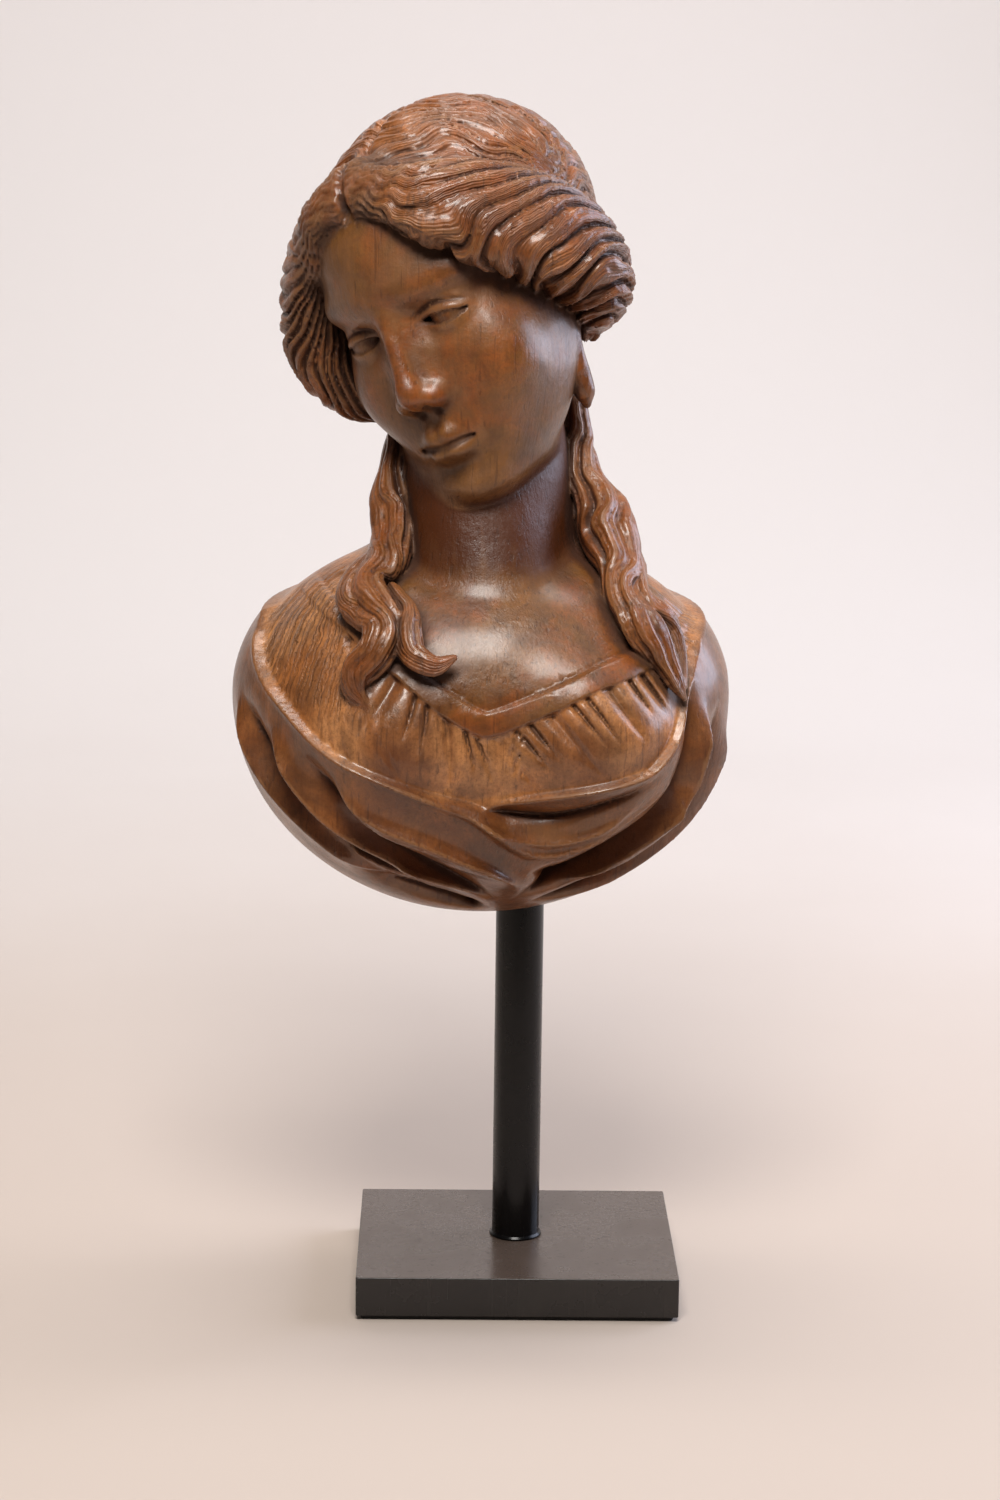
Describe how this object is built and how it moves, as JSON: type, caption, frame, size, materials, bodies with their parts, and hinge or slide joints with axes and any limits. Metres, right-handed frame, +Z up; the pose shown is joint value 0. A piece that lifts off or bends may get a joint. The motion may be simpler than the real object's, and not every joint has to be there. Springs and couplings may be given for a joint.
{
  "type": "ship figurehead bust on a stand",
  "caption": "Carved and varnished wooden bust of a woman from a ship's bow, on a round rod with a flat rectangular foot.",
  "frame": {"origin": "centre of the underside of the pad below the foot, which lies on the table", "axes": "+Z up along the rod, -Y the way the bust faces, +X to the figure's left"},
  "size_m": [0.3089, 0.2244, 0.7448],
  "materials": {
    "varnished_wood": "old varnished carving, glossy, dark in the cuts and worn olive brown on the raised skin",
    "black_paint": "black, satin",
    "dark_felt": "black felt, matt"
  },
  "bodies": {
    "root": {"figurehead": "varnished_wood", "stand_rod": "black_paint", "stand_base": "black_paint", "stand_pad": "dark_felt"}
  },
  "joints": []
}
